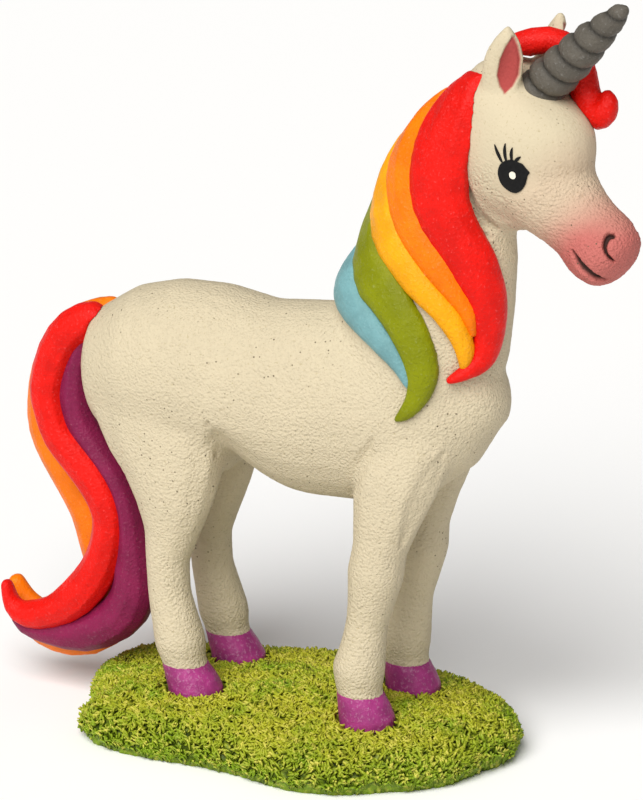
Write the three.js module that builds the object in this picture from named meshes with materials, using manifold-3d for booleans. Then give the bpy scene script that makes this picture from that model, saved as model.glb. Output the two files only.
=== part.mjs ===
// A cast resin unicorn that stands on a small patch of grass, an ornament for an aquarium.
// X points forward, the way the unicorn faces, Y to its left and Z up. The origin is on the
// flat underside of the base, midway between the four hooves. Sizes are in millimetres.

import * as THREE from 'three';
import { LoftGeometry } from 'three/addons/geometries/LoftGeometry.js';
import { mergeVertices } from 'three/addons/utils/BufferGeometryUtils.js';
import Module from 'manifold-3d';

const wasm = await Module();
wasm.setup();

// Driving dimensions

const clearance = 0.3; // between pieces that touch, filled by the glue

const base = {
  length: 84,
  width: 53,
  rim: 6.2, // height of the rounded edge
  crown: 9.4, // height in the middle
  seat: 8.3, // height at which the hooves stand
  ahead: 0.6, // of the outline's middle, forward of the origin
};

const tuft = { height: 1.1, spacing: 5.2 }; // of the grass: from pit to tip, and from one to the next

const hoof = {
  height: 6.2,
  topRadius: 4.3,
  toe: 5.6, // from the middle of the sole to its front
  heel: 5.0,
  halfWidth: 5.0,
};

const stance = {
  front: 19.2, // soles of the forelegs, forward of the origin
  back: -16.6,
  spread: 18.8, // between the left and right soles
  ahead: 1.3, // of the left forefoot, forward of the right one
};

const leg = { length: 37, fetlock: 4.9, cannon: 3.9, knee: 5.0, hock: 4.2 };
const trunk = { length: 84, height: 35.6, width: 28.4, front: 41.6 };
const neck = { rise: 43, throat: 44, width: 17 };
const skull = { height: 31, length: 27.4, width: 20, forward: 45.5, aside: -0.4, turn: -17 };
const muzzle = { reach: 21.4, drop: 15.4, width: 12.8 };
const ear = { height: 12.4, width: 7.4, thickness: 3.4, hollow: 1.9 };
const horn = { length: 25.9, radius: 4.35, pitch: 4.15, groove: 0.75, lean: 47, sunk: 5 };
const eye = { height: 7.0, width: 6.0, aside: 66, drop: 3.2 };
const lock = { thickness: 6.4, step: 0.4 }; // of the red lock, and how much lower each next one lies
const tail = { top: 80, drop: 68, reach: 26.5, thickness: 7.2 };
const peg = { leg: 1.3, horn: 1.7, neck: 3.2, tail: 1.5, depth: 3.4 };

const LEFT = new THREE.Vector3(0, 1, 0);
const UP = new THREE.Vector3(0, 0, 1);

// Solids

function solidOf(shape) {
  const bare = new THREE.BufferGeometry();
  bare.setAttribute('position', shape.getAttribute('position'));
  bare.setIndex(shape.getIndex());
  const merged = mergeVertices(bare, 1e-4);
  return new wasm.Manifold(new wasm.Mesh({
    numProp: 3,
    vertProperties: merged.attributes.position.array,
    triVerts: new Uint32Array(merged.index.array),
  }));
}

function geometryOf(solid) {
  const { vertProperties, triVerts } = solid.getMesh();
  const geometry = new THREE.BufferGeometry();
  geometry.setAttribute('position', new THREE.BufferAttribute(vertProperties, 3));
  geometry.setIndex(new THREE.BufferAttribute(triVerts, 1));
  geometry.computeVertexNormals();
  return geometry;
}

function union(solids) {
  return solids.reduce((all, next) => all.add(next));
}

// The solid without the pieces given, and without any crumbs that the cuts leave beside it.
function cut(solid, ...others) {
  const parts = others.reduce((rest, other) => rest.subtract(other), solid).decompose();
  return parts.reduce((best, next) => (next.volume() > best.volume() ? next : best));
}

// A round peg between two points, with the clearance added all over when it cuts its own hole.
function pegSolid(from, to, radius, grow = 0) {
  const along = to.clone().sub(from).normalize();
  const span = from.distanceTo(to) + grow;
  const geometry = new THREE.CylinderGeometry(radius + grow, radius + grow, span, 16);
  geometry.translate(0, span / 2, 0);
  geometry.applyQuaternion(new THREE.Quaternion().setFromUnitVectors(new THREE.Vector3(0, 1, 0), along));
  geometry.translate(from.x, from.y, from.z);
  return solidOf(geometry);
}

// Lofts

// Rows of numbers filled in with a smooth curve, steps rows to each interval.
function fillIn(rows, steps) {
  const size = rows[0].length;
  const track = new THREE.CubicInterpolant(rows.map((row, i) => i), rows.flat(), size, []);
  const count = (rows.length - 1) * steps;
  return Array.from({ length: count + 1 }, (unused, i) => Array.from(track.evaluate(i / steps)));
}

// An oval tube through stations [x, y, z, half width, half depth]. The width lies along side, and
// round gives how far the two ends bulge past the first and last station.
function limb(stations, { side = LEFT, sides = 12, steps = 1, grow = 0, round = [1, 1], level = false }) {
  const rows = fillIn(stations, steps);
  const centres = rows.map(([x, y, z]) => new THREE.Vector3(x, y, z));
  const rings = rows.map(([, , , wide, deep], i) => {
    const along = level ? UP.clone() : centres[Math.min(i + 1, rows.length - 1)].clone()
      .sub(centres[Math.max(i - 1, 0)]).normalize();
    const across = side.clone().addScaledVector(along, -side.dot(along)).normalize();
    const through = along.clone().cross(across);
    return { centre: centres[i], along, across, through, wide: wide + grow, deep: deep + grow };
  });
  const domes = round.map((length, end) => {
    const ring = end ? rings.at(-1) : rings[0];
    return [0.45, 0.8, 0.97].map((reach) => {
      const size = Math.sqrt(1 - reach * reach);
      const centre = ring.centre.clone()
        .addScaledVector(ring.along, (end ? 1 : -1) * reach * (length + grow));
      return { ...ring, centre, wide: ring.wide * size, deep: ring.deep * size };
    });
  });
  const all = [...domes[0].reverse(), ...rings, ...domes[1]];
  const sections = all.map(({ centre, across, through, wide, deep }) =>
    Array.from({ length: sides }, (unused, i) => {
      const angle = (i / sides) * 2 * Math.PI;
      return centre.clone()
        .addScaledVector(across, wide * Math.cos(angle))
        .addScaledVector(through, deep * Math.sin(angle));
    }));
  return solidOf(new LoftGeometry(sections, { capStart: true, capEnd: true }));
}

// Levels

const hoofTop = base.seat + hoof.height;
const belly = hoofTop + leg.length;
const trunkMiddle = belly + trunk.height / 2 - 1;
const neckRoot = trunkMiddle + 5;
const skullMiddle = neckRoot + neck.rise + 4.2;

// Trunk, neck and legs

// [share of the length from the rump, middle's height, share of the width, share of the height]
const trunkStations = [
  [0.06, 0.2, 0.74, 0.71],
  [0.13, 0.6, 0.92, 0.9],
  [0.22, 0.9, 1.0, 1.0],
  [0.32, 0.7, 1.01, 1.02],
  [0.44, -0.3, 0.99, 0.98],
  [0.56, -0.5, 0.98, 1.04],
  [0.68, 0.1, 0.96, 1.06],
  [0.79, 0.9, 0.93, 1.0],
  [0.88, 3.6, 0.78, 0.78],
  [0.94, 6.4, 0.56, 0.54],
].map(([share, lift, wide, high]) => [
  trunk.front - trunk.length * (1 - share), 0, trunkMiddle + lift,
  (wide * trunk.width) / 2, (high * trunk.height) / 2,
]);

// [back from the throat line to the middle, aside, share of the rise, share of the width, half depth]
const neckStations = [
  [20, 0, 0, 1.45, 15.8],
  [17.6, 0, 0.25, 1.34, 16.8],
  [14.7, 0, 0.46, 1.18, 14.9],
  [13.1, 0, 0.65, 1.06, 13.5],
  [11.8, -0.2, 0.83, 0.98, 12.0],
  [9.0, -0.4, 1.0, 0.92, 10.2],
  [4.8, -0.5, 1.17, 0.84, 8.0],
  [1.8, -0.6, 1.3, 0.7, 6.2],
  [0.6, -0.6, 1.4, 0.56, 5.2],
].map(([back, aside, share, wide, deep]) => [
  neck.throat - back, aside, neckRoot + share * neck.rise, (wide * neck.width) / 2, deep,
]);

function trunkSolid(grow = 0) {
  return limb(trunkStations, { sides: 24, steps: 1, grow, round: [5.2, 5.4] });
}

function neckSolid(grow = 0) {
  return limb(neckStations, { sides: 20, steps: 1, grow, round: [4, 4] });
}

// [share of the leg's length up from the hoof, forward, outward of the sole, half width, half depth]
const forelegStations = [
  [0, -1.3, 0, 4.0, 4.1],
  [0.04, -1.4, 0, leg.fetlock - 0.4, leg.fetlock - 0.3],
  [0.12, -1.5, 0, leg.fetlock, leg.fetlock + 0.1],
  [0.235, -0.6, -0.1, leg.cannon + 0.35, leg.cannon + 0.4],
  [0.37, 0.1, -0.2, leg.cannon, leg.cannon],
  [0.5, 1.0, -0.2, leg.cannon + 0.55, leg.cannon + 0.6],
  [0.64, 1.8, -0.2, leg.knee, leg.knee + 0.4],
  [0.77, 2.6, -0.2, leg.knee - 0.1, leg.knee + 0.1],
  [0.95, 3.9, -0.6, leg.knee + 0.6, leg.knee + 1.6],
  [1.12, 5.0, -1.4, leg.knee + 1.0, leg.knee + 3.4],
  [1.32, 6.2, -2.6, leg.knee + 0.9, leg.knee + 5.2],
  [1.6, 7.0, -4.6, leg.knee - 0.4, leg.knee + 5.2],
];

const hindlegStations = [
  [0, -2.2, 0, 4.0, 4.1],
  [0.04, -2.4, 0, leg.fetlock - 0.4, leg.fetlock - 0.4],
  [0.1, -3.0, 0, leg.fetlock - 0.1, leg.fetlock],
  [0.22, -4.1, -0.1, leg.fetlock - 0.6, leg.fetlock - 0.4],
  [0.36, -5.3, -0.2, leg.hock - 0.3, leg.hock - 0.1],
  [0.54, -5.6, -0.3, leg.hock - 0.1, leg.hock],
  [0.69, -4.7, -0.5, leg.hock + 0.5, leg.hock + 1.2],
  [0.84, -4.4, -0.8, leg.hock + 1.4, leg.hock + 3.4],
  [1.0, -4.6, -1.3, leg.hock + 2.1, leg.hock + 6.0],
  [1.16, -5.7, -2.0, leg.hock + 2.6, leg.hock + 8.9],
  [1.36, -7.8, -3.0, leg.hock + 2.6, leg.hock + 11.0],
  [1.62, -9.4, -4.6, leg.hock + 1.6, leg.hock + 10.6],
];

function legSolid(stations, sole, hand, grow = 0) {
  return limb(stations.map(([share, forward, outward, wide, deep]) => [
    sole + forward, hand * (stance.spread / 2 + outward), hoofTop + clearance + share * leg.length,
    wide, deep,
  ]), { sides: 12, steps: 1, grow, round: [0.05, 4] });
}

// The left foreleg leaves the trunk beside the right one and comes forward on its way down.
const aheadStations = forelegStations.map(([share, forward, ...rest]) => [
  share, forward - stance.ahead * THREE.MathUtils.clamp((share - 0.6) / 0.4, 0, 1), ...rest,
]);

const feet = [
  { name: 'front_right', stations: forelegStations, sole: stance.front, hand: -1 },
  { name: 'front_left', stations: aheadStations, sole: stance.front + stance.ahead, hand: 1 },
  { name: 'rear_right', stations: hindlegStations, sole: stance.back, hand: -1 },
  { name: 'rear_left', stations: hindlegStations, sole: stance.back, hand: 1 },
];

function bodySolid(grow = 0) {
  return union([
    trunkSolid(grow),
    neckSolid(grow),
    ...feet.map(({ stations, sole, hand }) => legSolid(stations, sole, hand, grow)),
  ]);
}

// Head, in its own frame at the middle of the skull

const headPlace = new THREE.Matrix4()
  .makeRotationZ(THREE.MathUtils.degToRad(skull.turn))
  .setPosition(skull.forward, skull.aside, skullMiddle);

function placed(solid) {
  return solid.transform(headPlace.elements);
}

// [forward, share of half the height, share of the width, share of the length]
const skullStations = [
  [-2.5, -0.76, 0.61, 0.64],
  [-1.5, -0.5, 0.89, 0.95],
  [-1.4, -0.19, 1.02, 1.125],
  [-1.2, 0.12, 1.05, 1.14],
  [-1.5, 0.4, 1.0, 1.03],
  [-3.4, 0.66, 0.89, 0.76],
  [-3.8, 0.84, 0.68, 0.44],
].map(([forward, up, wide, deep]) => [
  forward, 0, (up * skull.height) / 2, (wide * skull.width) / 2, (deep * skull.length) / 2,
]);

// [share of the reach, share of the width, half depth]
const muzzleStations = [
  [0.12, 1.42, 9.6],
  [0.34, 1.27, 8.5],
  [0.54, 1.03, 7.2],
  [0.7, 0.93, 6.8],
  [0.84, 1.0, 7.0],
  [0.94, 0.96, 6.7],
].map(([share, wide, deep]) => [
  share * muzzle.reach, 0, -2.2 - share * muzzle.drop, (wide * muzzle.width) / 2, deep,
]);

// [share of the reach, share of the width, half depth], the lower lip below the muzzle
const chinStations = [
  [0.61, 0.7, 4.3],
  [0.73, 0.8, 4.8],
  [0.81, 0.76, 4.5],
].map(([share, wide, deep]) => [
  share * muzzle.reach, 0, -5.6 - share * muzzle.drop, (wide * muzzle.width) / 2, deep,
]);

// [forward, outward, share of the height, share of the width, share of the thickness]
const earStations = [
  [0.1, 0, 0, 0.44, 0.95],
  [0.6, 0.15, 0.28, 0.48, 1],
  [1.3, 0.4, 0.52, 0.49, 1],
  [1.9, 0.6, 0.67, 0.44, 0.95],
  [2.4, 0.85, 0.81, 0.34, 0.85],
  [2.7, 1.1, 0.92, 0.22, 0.7],
  [2.8, 1.2, 0.99, 0.1, 0.5],
];

// The leaf-shaped hollow in its front
const earHollow = [
  [1.5, 0.1, 0.2, 0.12, 0.8],
  [2.0, 0.2, 0.31, 0.25, 1],
  [2.5, 0.4, 0.49, 0.28, 1],
  [3.0, 0.6, 0.665, 0.22, 0.9],
  [3.5, 0.85, 0.79, 0.11, 0.6],
];

function earSolid(hand, grow = 0) {
  const side = new THREE.Vector3(0.9, hand * -0.44, 0);
  const facing = new THREE.Vector3(0.44, hand * 0.9, 0);
  const foot = new THREE.Vector3(-0.8, hand * 6.2, 0.3 * skull.height);
  const shell = (rows, out, options) => limb(rows.map(([forward, outward, up, wide, thick]) => {
    const centre = foot.clone().addScaledVector(facing, out)
      .add(new THREE.Vector3(forward, hand * outward, up * (ear.height + 1)));
    return [...centre, wide * ear.width, (thick * ear.thickness) / 2];
  }), { side, sides: 12, steps: 1, ...options });
  const outside = shell(earStations, 0, { grow, round: [0.1, 0.7] });
  const hollow = shell(earHollow, ear.hollow, { grow: -grow, round: [0.6, 0.6] });
  return outside.subtract(hollow);
}

function headSolid(grow = 0) {
  return placed(union([
    limb(skullStations, { sides: 24, steps: 2, grow, round: [3.7, 2.4], level: true }),
    limb(muzzleStations, { sides: 20, steps: 2, grow, round: [2, 3.6] }),
    limb(chinStations, { sides: 14, steps: 2, grow, round: [3, 2.6] }),
    earSolid(-1, grow),
    earSolid(1, grow),
  ]));
}

// Horn and forelock

// The horn stands on the forehead. One ridge winds round it like rope.
const hornFoot = new THREE.Vector3(0.125 * skull.length, 0, 0.35 * skull.height);
const hornLean = THREE.MathUtils.degToRad(horn.lean);
const hornAxis = new THREE.Vector3(Math.sin(hornLean), 0, Math.cos(hornLean));

function hornSolid(grow = 0) {
  const through = hornAxis.clone().cross(LEFT);
  const rings = 42;
  const sides = 13;
  const sections = Array.from({ length: rings + 1 }, (unused, i) => {
    const up = i / rings;
    const taper = 1 - 0.1 * up - 0.6 * up ** 4;
    const tip = Math.sqrt(1 - Math.max(0, (up - 0.94) / 0.065) ** 2);
    return Array.from({ length: sides }, (unusedToo, k) => {
      const angle = (k / sides) * 2 * Math.PI;
      const turn = (up * (horn.length + horn.sunk)) / horn.pitch - k / sides;
      const ridge = Math.abs(Math.sin(Math.PI * turn)) ** 0.6;
      const radius = (horn.radius - horn.groove * (1 - ridge)) * taper * tip + grow;
      return hornFoot.clone()
        .addScaledVector(hornAxis, up * (horn.length + horn.sunk) - horn.sunk)
        .addScaledVector(LEFT, radius * Math.sin(angle))
        .addScaledVector(through, -radius * Math.cos(angle));
    });
  });
  return solidOf(new LoftGeometry(sections, { capStart: true, capEnd: true }));
}

// The forelock curls down beside the horn: [forward, aside, up, half width, half depth]
const forelockStations = [
  [-5.6, -1.2, 12.6, 2.2, 2.2],
  [-4.0, -0.6, 15.8, 2.4, 2.4],
  [-1.4, 0.2, 18.0, 2.4, 2.4],
  [2.8, 3.0, 19.2, 2.4, 2.4],
  [6.6, 5.4, 17.2, 2.4, 2.5],
  [8.1, 6.0, 13.4, 2.5, 2.8],
  [8.9, 6.0, 10.2, 2.5, 2.9],
  [10.2, 5.8, 7.8, 2.6, 3.1],
  [12.2, 5.5, 6.9, 2.5, 3.0],
  [13.9, 5.5, 7.8, 2.2, 2.5],
  [14.3, 5.8, 9.5, 1.7, 1.8],
  [13.8, 6.0, 10.6, 1.0, 1.0],
];

function forelockSolid(grow = 0) {
  return limb(forelockStations, { sides: 12, steps: 2, grow, round: [1.5, 0.6] });
}

// Eyes

// An upright oval let into the side of the skull.
function eyeSolid(hand, grow = 0) {
  const aside = THREE.MathUtils.degToRad(eye.aside);
  const outward = new THREE.Vector3(Math.cos(aside), hand * Math.sin(aside), 0);
  const across = UP.clone().cross(outward);
  const inner = (skull.width / 2) * 0.5 - grow;
  const sections = [inner, skull.width].map((reach) => Array.from({ length: 28 }, (unused, i) => {
    const angle = (i / 28) * 2 * Math.PI;
    return new THREE.Vector3(0, 0, -eye.drop)
      .addScaledVector(outward, reach)
      .addScaledVector(across, (eye.width / 2 + grow) * Math.cos(angle))
      .addScaledVector(UP, (eye.height / 2 + grow) * Math.sin(angle));
  }));
  return solidOf(new LoftGeometry(sections, { capStart: true, capEnd: true }));
}

// Mane

// The point of the neck's surface at a share of its rise, at an angle round from the crest
// towards the right side, lifted off the surface.
const neckTop = (neckStations.at(-1)[2] - neckRoot) / neck.rise;
const neckTrack = new THREE.CubicInterpolant(
  neckStations.map(([, , z]) => (z - neckRoot) / neck.rise), neckStations.flat(), 5, []);

function onNeck(share, around, lift) {
  const inside = THREE.MathUtils.clamp(share, 0, neckTop - 0.02);
  const [x, y, z, wide, deep] = neckTrack.evaluate(inside);
  const ahead = neckTrack.evaluate(inside + 0.01);
  const along = new THREE.Vector3(ahead[0] - x, ahead[1] - y, ahead[2] - z).normalize();
  const across = LEFT.clone().addScaledVector(along, -LEFT.dot(along)).normalize();
  const through = along.clone().cross(across);
  const angle = THREE.MathUtils.degToRad(90 + around);
  const outward = new THREE.Vector3()
    .addScaledVector(across, Math.cos(angle) / wide)
    .addScaledVector(through, Math.sin(angle) / deep).normalize();
  return new THREE.Vector3(x, y, z)
    .addScaledVector(across, wide * Math.cos(angle))
    .addScaledVector(through, deep * Math.sin(angle))
    .addScaledVector(along, (share - inside) * neck.rise)
    .addScaledVector(outward, lift);
}

// Stations of a lock: [share of the neck's rise, degrees round from the crest, half width]
const maneLocks = {
  mane_red: [
    [1.32, 24, 4.2], [1.28, 34, 5.5], [1.2, 45, 5.9], [1.13, 55, 6.0], [1.05, 67, 6.0],
    [0.97, 79, 6.0], [0.88, 92, 5.8], [0.78, 109, 5.3], [0.68, 123, 4.8], [0.58, 136, 4.3],
    [0.5, 145, 3.6], [0.41, 150, 3.0], [0.32, 149, 2.3], [0.25, 142, 1.6], [0.19, 133, 1.0],
    [0.16, 127, 0.4],
  ],
  mane_orange: [
    [1.22, 12, 4.8], [1.15, 12, 6.6], [1.07, 18, 7.4], [0.98, 33, 6.6], [0.9, 49, 5.4],
    [0.81, 66, 4.4], [0.71, 85, 3.8], [0.62, 101, 3.2], [0.54, 115, 2.5], [0.47, 128, 1.7],
    [0.4, 135, 0.7],
  ],
  mane_yellow: [
    [1.08, 6, 4.6], [1.0, 8, 6.4], [0.91, 12, 7.2], [0.8, 27, 6.1], [0.69, 49, 4.3],
    [0.59, 72, 3.2], [0.52, 89, 2.9], [0.47, 105, 2.6], [0.42, 118, 2.3], [0.36, 129, 1.9],
    [0.3, 134, 1.4], [0.25, 135, 0.9], [0.2, 134, 0.4],
  ],
  mane_green: [
    [0.86, 4, 4.4], [0.77, 4, 6.4], [0.67, 8, 7.4], [0.57, 22, 6.3], [0.48, 46, 4.6],
    [0.41, 70, 3.8], [0.34, 89, 3.6], [0.26, 102, 3.3], [0.17, 109, 2.8], [0.09, 111, 2.2],
    [0.02, 109, 1.6], [-0.03, 105, 1.0], [-0.06, 101, 0.4],
  ],
  mane_blue: [
    [0.62, 2, 3.8], [0.53, 2, 5.6], [0.44, 6, 6.4], [0.36, 20, 5.4], [0.31, 41, 3.8],
    [0.275, 60, 2.9], [0.245, 75, 2.4], [0.205, 88, 1.9], [0.16, 97, 1.4], [0.11, 103, 0.9],
    [0.07, 106, 0.4],
  ],
};

function maneSolid(stations, thickness, grow = 0) {
  const rows = fillIn(stations, 2);
  const widest = Math.max(...rows.map(([, , half]) => half));
  const point = ([share, around], lift = 0) => onNeck(share, around, lift);
  const domes = [rows[0], rows.at(-1)].map((row, end) => [0.5, 0.85, 0.98].map((reach) => {
    const inner = end ? rows.at(-2) : rows[1];
    const step = (reach * row[2]) / (2 * point(row).distanceTo(point(inner)));
    return [
      row[0] + (row[0] - inner[0]) * step, row[1] + (row[1] - inner[1]) * step,
      row[2] * Math.sqrt(1 - reach * reach),
    ];
  }));
  const all = [...domes[0].reverse(), ...rows, ...domes[1]];
  const sides = 12;
  const sections = all.map((row, i) => {
    const ahead = point(all[Math.min(i + 1, all.length - 1)]);
    const along = ahead.sub(point(all[Math.max(i - 1, 0)])).normalize();
    const upward = point([row[0] + 0.01, row[1]]).sub(point(row)).divideScalar(0.01);
    const round = point([row[0], row[1] + 1]).sub(point(row));
    const outward = round.clone().cross(upward).normalize();
    const across = outward.clone().cross(along).normalize();
    const shareStep = across.dot(upward) / upward.lengthSq();
    const aroundStep = across.dot(round) / round.lengthSq();
    const half = row[2] + grow;
    const high = (thickness / 2) * Math.min(1, (row[2] / widest) ** 0.4) + grow;
    return Array.from({ length: sides }, (unused, k) => {
      const angle = (k / sides) * 2 * Math.PI;
      const reach = half * Math.cos(angle);
      return point(
        [row[0] + reach * shareStep, row[1] + reach * aroundStep], high * Math.sin(angle) + 0.1);
    });
  });
  return solidOf(new LoftGeometry(sections, { capStart: true, capEnd: true }));
}

// Tail

// Three locks side by side hang from the rump in an S and curl up at the tip. Their stations:
// [back from the rump as a share of the reach, share of the drop, share of the thickness, half width]
const rump = trunk.front - trunk.length;
const tailLocks = {
  tail_red: { aside: -2.2, rows: [
    [-0.22, 0.04, 0.6, 2.0], [-0.07, 0.025, 0.8, 2.8], [0.1, 0.06, 0.95, 3.4], [0.24, 0.14, 1, 3.6],
    [0.32, 0.25, 1, 3.5], [0.29, 0.32, 1, 3.4], [0.22, 0.39, 1, 3.5], [0.07, 0.45, 1, 3.8],
    [-0.08, 0.52, 1, 3.8], [-0.17, 0.6, 1, 3.5], [-0.15, 0.69, 1, 3.4], [-0.06, 0.78, 1, 3.6],
    [0.12, 0.87, 1, 3.7], [0.33, 0.93, 0.85, 3.0], [0.54, 0.95, 0.7, 2.5], [0.66, 0.93, 0.55, 1.5],
    [0.71, 0.87, 0.4, 0.8],
  ] },
  tail_purple: { aside: -0.6, rows: [
    [0.02, 0.08, 0.7, 1.4], [0.11, 0.18, 0.9, 2.3], [0.13, 0.26, 1, 2.7], [0.1, 0.33, 1, 2.7],
    [0.01, 0.39, 1, 2.4], [-0.12, 0.45, 1, 2.2], [-0.24, 0.52, 1, 2.0], [-0.3, 0.6, 1, 2.3],
    [-0.32, 0.68, 1, 2.9], [-0.33, 0.77, 1, 3.5], [-0.31, 0.85, 1, 3.8], [-0.18, 0.925, 1, 3.8],
    [0.1, 0.985, 0.9, 3.2], [0.39, 0.995, 0.75, 2.3], [0.58, 0.99, 0.5, 1.3], [0.66, 0.96, 0.4, 0.6],
  ] },
  tail_orange: { aside: 4.0, rows: [
    [-0.1, 0.02, 0.5, 1.8], [0.1, 0.055, 0.7, 2.7], [0.29, 0.14, 0.85, 3.7], [0.39, 0.23, 0.9, 4.4],
    [0.42, 0.32, 0.9, 4.8], [0.41, 0.4, 0.9, 5.0], [0.33, 0.47, 0.9, 5.0], [0.2, 0.55, 0.9, 5.0],
    [0.08, 0.63, 0.9, 5.1], [0.0, 0.72, 0.9, 5.4], [-0.07, 0.81, 0.9, 5.8], [-0.03, 0.92, 0.9, 6.2],
    [0.18, 0.995, 0.85, 5.8], [0.43, 1.01, 0.75, 5.2], [0.6, 0.99, 0.65, 4.0], [0.7, 0.94, 0.5, 2.2],
    [0.76, 0.89, 0.4, 1.2],
  ] },
};

function tailSolid({ aside, rows }, grow = 0) {
  return limb(rows.map(([back, down, thick, wide]) => [
    rump - back * tail.reach, aside, tail.top - down * tail.drop, (thick * tail.thickness) / 2, wide,
  ]), { sides: 10, steps: 2, grow, round: [1, 0.8] });
}

// Base and hooves

// The uneven outline of the grass: [share of the length, share of the width]
const baseOutline = [
  [0.515, 0.06], [0.495, 0.18], [0.45, 0.28], [0.38, 0.37], [0.3, 0.43], [0.19, 0.465], [0.06, 0.475],
  [-0.06, 0.46], [-0.15, 0.41], [-0.25, 0.37], [-0.38, 0.32], [-0.48, 0.23], [-0.51, 0.08], [-0.49, -0.09],
  [-0.445, -0.2], [-0.43, -0.28], [-0.435, -0.35], [-0.405, -0.42], [-0.34, -0.46], [-0.24, -0.475],
  [-0.1, -0.47], [0, -0.485], [0.09, -0.52], [0.18, -0.52], [0.26, -0.475], [0.35, -0.385], [0.44, -0.26],
  [0.48, -0.12], [0.505, -0.02],
];

// From the underside up and in to the middle:
// [share of the outline, share of the rim's height, share of the way from the rim to the crown]
const baseLevels = [
  [0.975, 0, 0], [1, 0.24, 0], [1.005, 0.5, 0], [0.995, 0.74, 0], [0.965, 0.93, 0.05], [0.92, 1, 0.25],
  [0.86, 1, 0.45], [0.8, 1, 0.58], [0.74, 1, 0.67], [0.68, 1, 0.74], [0.62, 1, 0.8], [0.56, 1, 0.85],
  [0.5, 1, 0.89], [0.44, 1, 0.92], [0.38, 1, 0.95], [0.32, 1, 0.97], [0.25, 1, 0.985], [0.18, 1, 1],
  [0.1, 1, 1],
];

// Low rises and a dip in the grass: [forward, aside, reach, height]
const baseSwells = [[1, -7, 9, 1.3], [-26, -13, 10, 0.9], [30, -6, 9, 0.7], [-34, 5, 9, -1.6]];

// How far the tufts of grass stand above or below their middle height at a place
function tuftHeight(x, y) {
  const pace = (2 * Math.PI) / tuft.spacing;
  const rows = Math.sin(pace * x + 1.3 * Math.sin(0.31 * pace * y));
  const files = Math.sin(1.1 * pace * y + 1.1 * Math.sin(0.27 * pace * x + 1));
  return (tuft.height / 2) * rows * files;
}

function baseSolid() {
  const outline = new THREE.CatmullRomCurve3(
    baseOutline.map(([x, y]) => new THREE.Vector3(x * base.length + base.ahead, y * base.width, 0)), true);
  const rim = outline.getPoints(96).slice(0, -1);
  const sections = baseLevels.map(([share, side, top]) => rim.map((point) => {
    const height = side * base.rim + top * (base.crown - base.rim);
    const swell = baseSwells.reduce((sum, [x, y, reach, high]) => sum + high
      * Math.exp(-(((point.x * share - x) ** 2 + (point.y * share - y) ** 2) / reach ** 2)), 0);
    const stand = side && tuftHeight(point.x * share, point.y * share + height);
    const outward = (stand * (1 - top)) / point.length();
    return new THREE.Vector3(
      point.x * (share + outward), point.y * (share + outward), height + top * (swell + stand));
  }));
  return solidOf(new LoftGeometry(sections, { capStart: true, capEnd: true }));
}

// A hoof, an oval that narrows to the ankle, the leg's first station.
function hoofSolid({ stations, sole, hand }, grow = 0) {
  const y = hand * stance.spread / 2;
  const topX = sole + stations[0][1];
  const levels = [[0, 1.0], [0.25, 0.96], [0.6, 0.55], [1, 0.0]]; // [share of the height, flare]
  const sections = levels.map(([up, flare]) => Array.from({ length: 20 }, (unused, i) => {
    const angle = (i / 20) * 2 * Math.PI;
    const forward = Math.cos(angle) > 0 ? hoof.toe : hoof.heel;
    const reach = THREE.MathUtils.lerp(hoof.topRadius, forward, flare) + grow;
    const wide = THREE.MathUtils.lerp(hoof.topRadius, hoof.halfWidth, flare) + grow;
    return new THREE.Vector3(
      THREE.MathUtils.lerp(topX, sole, flare) + reach * Math.cos(angle),
      y + wide * Math.sin(angle),
      base.seat + up * hoof.height + (up === 0 ? -grow : 0) + (up === 1 ? grow : 0));
  }));
  return solidOf(new LoftGeometry(sections, { capStart: true, capEnd: true }));
}

// Assembly

const colours = {
  coat: [0xe9e2cf, 0.8], grass: [0x7f9a1e, 0.85], purple: [0x9c3a90, 0.7], horn: [0x77746c, 0.75],
  red: [0xee2a18, 0.6], orange: [0xff9c00, 0.6], yellow: [0xffc62e, 0.6], green: [0x8fa51c, 0.6],
  blue: [0x86c2d2, 0.6], black: [0x14110f, 0.25],
};

const model = new THREE.Group();

function addPiece(name, solid, colour) {
  const [shade, roughness] = colours[colour];
  const mesh = new THREE.Mesh(
    geometryOf(solid), new THREE.MeshStandardMaterial({ color: shade, roughness, metalness: 0 }));
  mesh.name = name;
  model.add(mesh);
}

// Round pegs that hold the pieces while the glue sets
const legPegs = feet.map(({ stations, sole, hand }) => {
  const ankle = new THREE.Vector3(sole + stations[0][1], hand * stance.spread / 2, hoofTop + 2);
  return [ankle, ankle.clone().addScaledVector(UP, -2 - peg.depth), peg.leg];
});
const neckPeg = [
  new THREE.Vector3(neck.throat - 12, skull.aside, neckRoot + 0.55 * neck.rise),
  new THREE.Vector3(skull.forward - 3, skull.aside, skullMiddle - 3), peg.neck,
];
const hornPeg = [
  hornFoot.clone().addScaledVector(hornAxis, 6), hornFoot.clone().addScaledVector(hornAxis, -7), peg.horn,
];
const tailPeg = [
  new THREE.Vector3(rump - 0.5, tailLocks.tail_red.aside, tail.top - 5),
  new THREE.Vector3(rump + 6, tailLocks.tail_red.aside, tail.top - 6), peg.tail,
];

const head = headSolid();
const headRoom = headSolid(clearance);
const bodyRoom = bodySolid(clearance);
const mane = Object.entries(maneLocks).map(([name, rows], i) => ({
  name,
  solid: maneSolid(rows, lock.thickness - i * lock.step),
  room: maneSolid(rows, lock.thickness - i * lock.step, clearance),
}));
const tails = Object.entries(tailLocks).map(([name, shape]) => ({
  name, solid: tailSolid(shape), room: tailSolid(shape, clearance),
}));

const hoofRooms = feet.map((foot) => hoofSolid(foot, clearance));

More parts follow.
